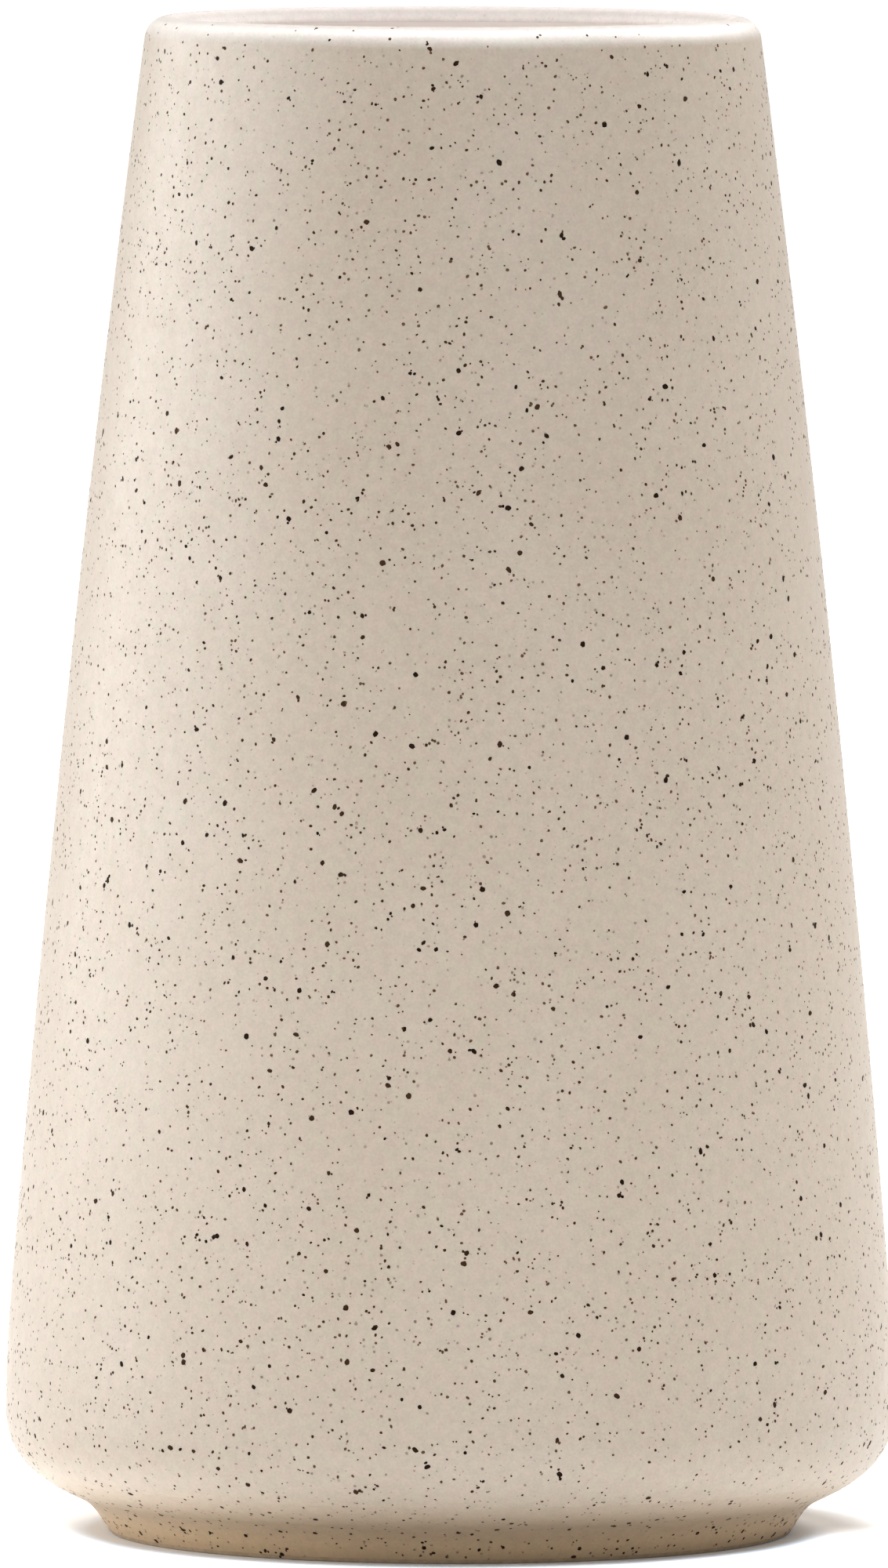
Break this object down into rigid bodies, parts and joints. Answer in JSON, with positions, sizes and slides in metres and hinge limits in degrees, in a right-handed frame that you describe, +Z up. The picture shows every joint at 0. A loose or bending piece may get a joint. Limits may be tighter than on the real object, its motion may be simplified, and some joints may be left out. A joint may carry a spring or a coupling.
{
  "type": "stoneware vase",
  "caption": "Tall tapered stoneware vase, widest just above a small turned foot, with a rounded lip, an open mouth and a matt glaze with dark iron specks.",
  "frame": {"origin": "centre of the foot, on the surface that the vase stands on", "axes": "+Z up along the pot's axis of revolution, through the mouth; X and Y are interchangeable, and -Y is towards the viewer of the front view"},
  "size_m": [0.1174, 0.1174, 0.2],
  "materials": {
    "buff_clay": "bare buff stoneware, matt and slightly gritty",
    "speckled_glaze": "cream satin-matt glaze with dark brown iron specks",
    "liner_glaze": "smooth pale satin glaze without specks"
  },
  "bodies": {
    "root": {"wall": "buff_clay", "floor_slab": "buff_clay", "foot_ring": "buff_clay", "outer_glaze": "speckled_glaze", "liner_glaze": "liner_glaze", "underside_glaze": "speckled_glaze"}
  },
  "joints": []
}
